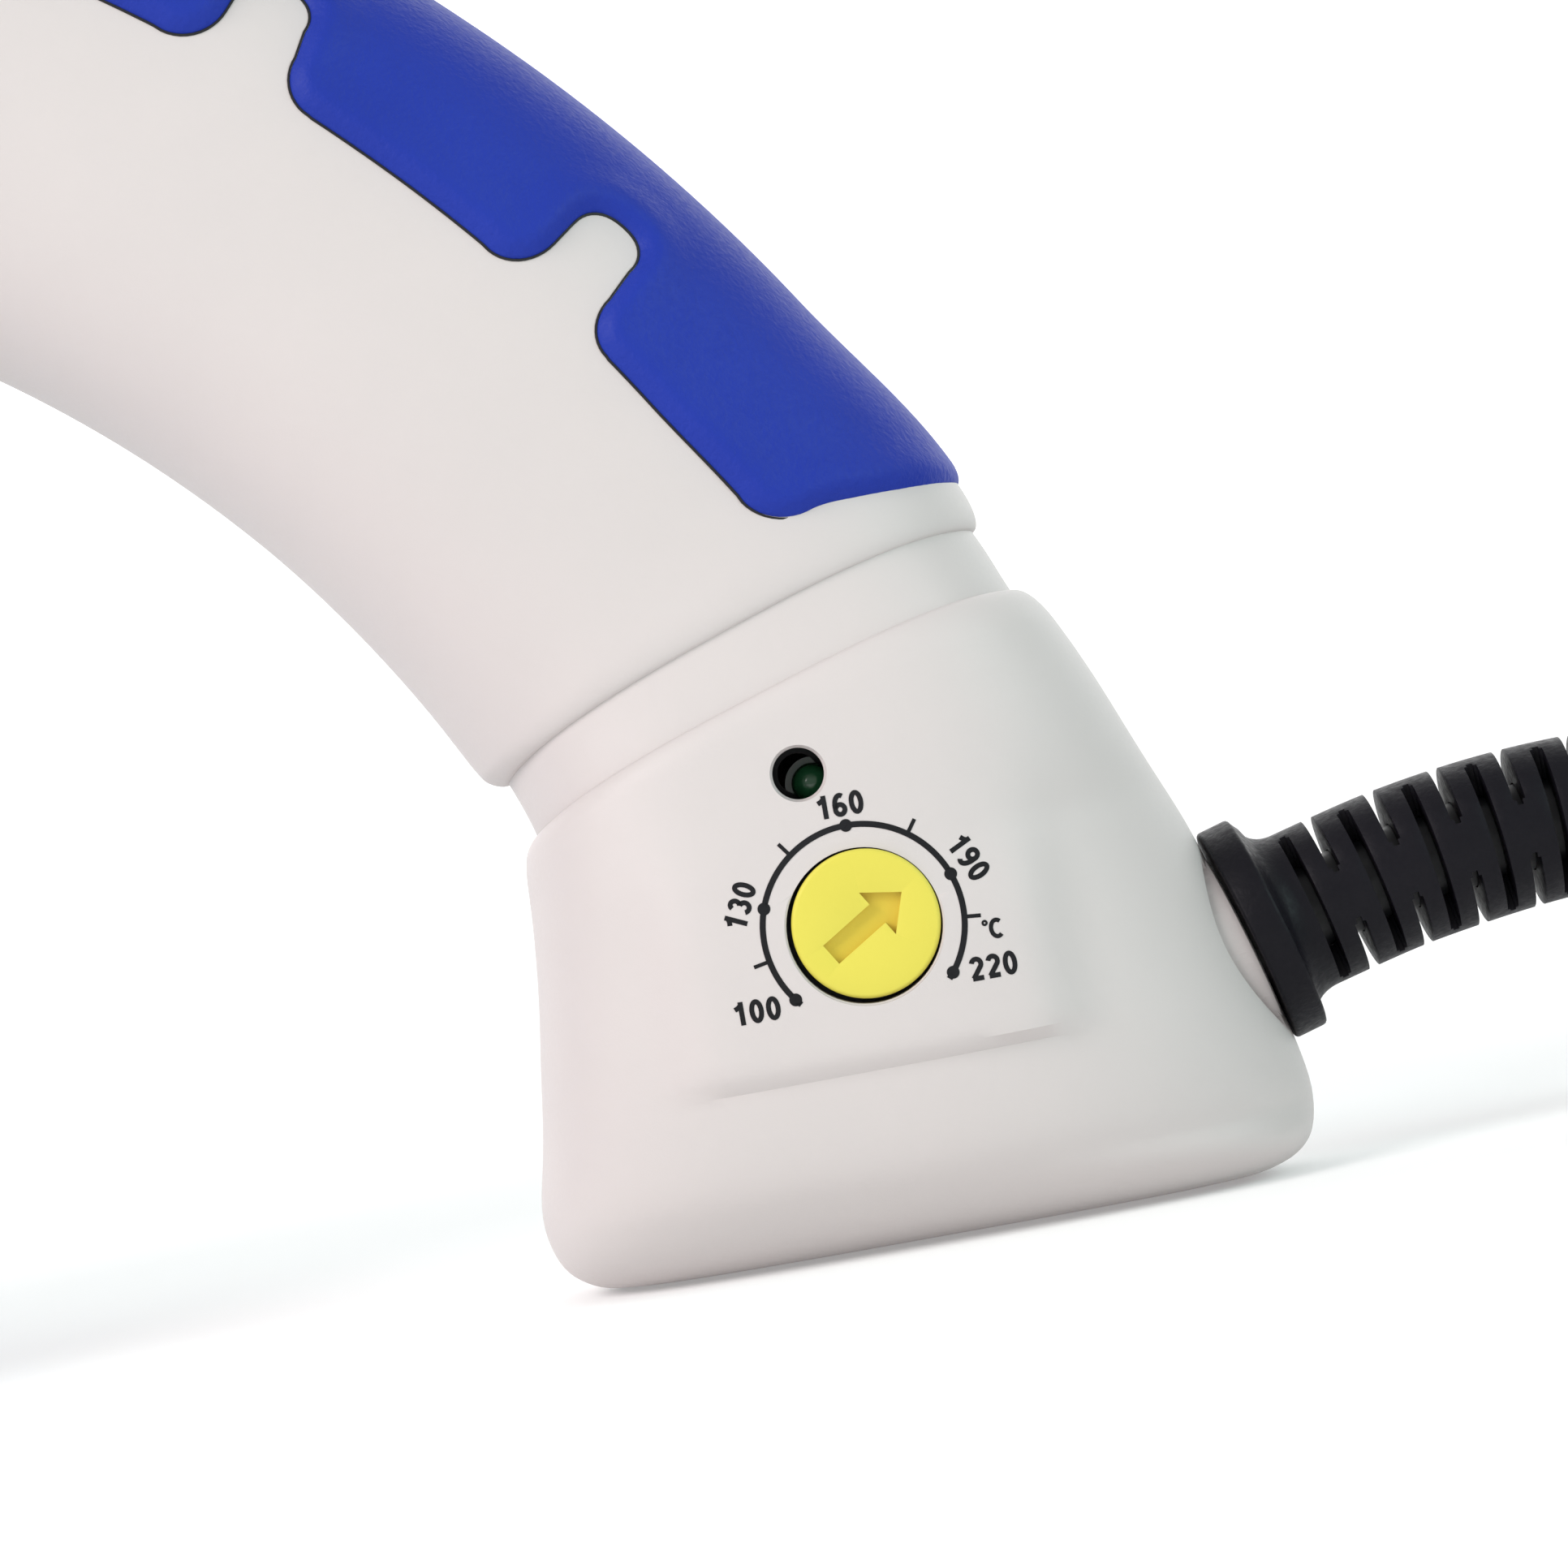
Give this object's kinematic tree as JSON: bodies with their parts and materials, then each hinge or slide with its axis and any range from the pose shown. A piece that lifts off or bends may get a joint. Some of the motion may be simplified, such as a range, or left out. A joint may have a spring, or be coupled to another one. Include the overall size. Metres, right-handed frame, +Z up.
{
  "type": "hand-held wallpaper steamer",
  "caption": "Hand-held steamer with an arched handle, soft grip, thermostat dial, trigger, water tank, tilting steam plate and mains cord.",
  "frame": {"origin": "middle of the heel's flat bottom, on the table that the steamer stands on", "axes": "+Z up; +X from the steam head to the cord; -Y the side with the dial"},
  "size_m": [0.413, 0.1818, 0.1955],
  "materials": {
    "casing": "fine-grained warm light grey moulded plastic",
    "soft_grip": "blue soft-touch overmould",
    "yellow_plastic": "satin yellow plastic",
    "black_plastic": "matte black plastic",
    "black_rubber": "matte black rubber",
    "cord_sheath": "satin black cable sheath",
    "grey_plastic": "grey engineering plastic",
    "light_lens": "unlit dark green lens",
    "circuit_board": "green lacquered board",
    "steel": "zinc-plated steel",
    "brass": "bare brass",
    "aluminium": "brushed aluminium",
    "clear_tank": "translucent smoky blue plastic",
    "clear_hose": "milky silicone hose",
    "insulation": "mineral fibre board"
  },
  "bodies": {
    "casing": {"shell_dial_side": "casing", "shell_far_side": "casing", "soft_grip": "soft_grip", "led_holder": "black_plastic", "head_bracket": "black_plastic", "thermal_cutout": "black_plastic", "plug_body": "black_plastic", "cord_boot": "black_rubber", "tank_gasket": "black_rubber", "tank_foot_front": "black_rubber", "tank_foot_rear": "black_rubber", "mains_cord": "cord_sheath", "cord_coil": "cord_sheath", "cord_tail": "cord_sheath", "inner_lead": "cord_sheath", "thermostat_control": "grey_plastic", "cord_clamp": "grey_plastic", "microswitch": "grey_plastic", "pump": "grey_plastic", "handle_wiring": "grey_plastic", "status_led": "light_lens", "control_board": "circuit_board", "trigger_pin": "steel", "trigger_spring": "steel", "flap_pin": "steel", "head_pin_near": "steel", "head_pin_far": "steel", "heating_rod_1": "steel", "heating_rod_2": "steel", "shell_screw_1": "steel", "shell_screw_2": "steel", "shell_screw_3": "steel", "shell_screw_4": "steel", "shell_screw_5": "steel", "shell_screw_6": "steel", "clamp_screw_1": "steel", "clamp_screw_2": "steel", "steam_pipe": "brass", "temperature_sensor": "brass", "plug_pin_1": "brass", "plug_pin_2": "brass", "boiler_block": "aluminium", "water_tank": "clear_tank", "suction_tube": "clear_hose", "feed_hose": "clear_hose", "insulation": "insulation"},
    "dial": {"dial_knob": "yellow_plastic", "dial_spindle": "steel"},
    "trigger": {"trigger": "yellow_plastic"},
    "plunger": {"switch_plunger": "yellow_plastic"},
    "flap": {"filler_flap": "soft_grip", "filler_seal": "black_rubber"},
    "steam_head": {"steam_hood": "casing", "plate_gasket": "black_rubber", "steam_plate": "aluminium", "plate_screw_1": "steel", "plate_screw_2": "steel", "plate_screw_3": "steel", "plate_screw_4": "steel"}
  },
  "joints": [
    {"name": "dial_turn", "type": "hinge", "parent": "casing", "child": "dial", "pos_m": [-0.00115, -0.0213, 0.0255], "axis": [0, 1, 0], "range_deg": [-185, 68]},
    {"name": "trigger_pull", "type": "hinge", "parent": "casing", "child": "trigger", "pos_m": [-0.097, 0, 0.099], "axis": [0, -1, 0], "range_deg": [0, 6], "stiffness_Nm_per_rad": 0.8, "springref_deg": -5.73, "deforming": ["trigger_spring"]},
    {"name": "plunger_press", "type": "slide", "parent": "casing", "child": "plunger", "axis": [0, 0, 1], "range_m": [0, 0.0023]},
    {"name": "flap_open", "type": "hinge", "parent": "casing", "child": "flap", "pos_m": [-0.142, -0.0276, 0.081], "axis": [-1, 0, 0], "range_deg": [0, 100]},
    {"name": "head_tilt", "type": "hinge", "parent": "casing", "child": "steam_head", "pos_m": [-0.204, 0, 0.1175], "axis": [0, 1, 0], "range_deg": [-12, 12]}
  ],
  "couplings": [
    {"joint": "plunger_press", "follows": "trigger_pull", "m_per_rad": 0.021}
  ]
}
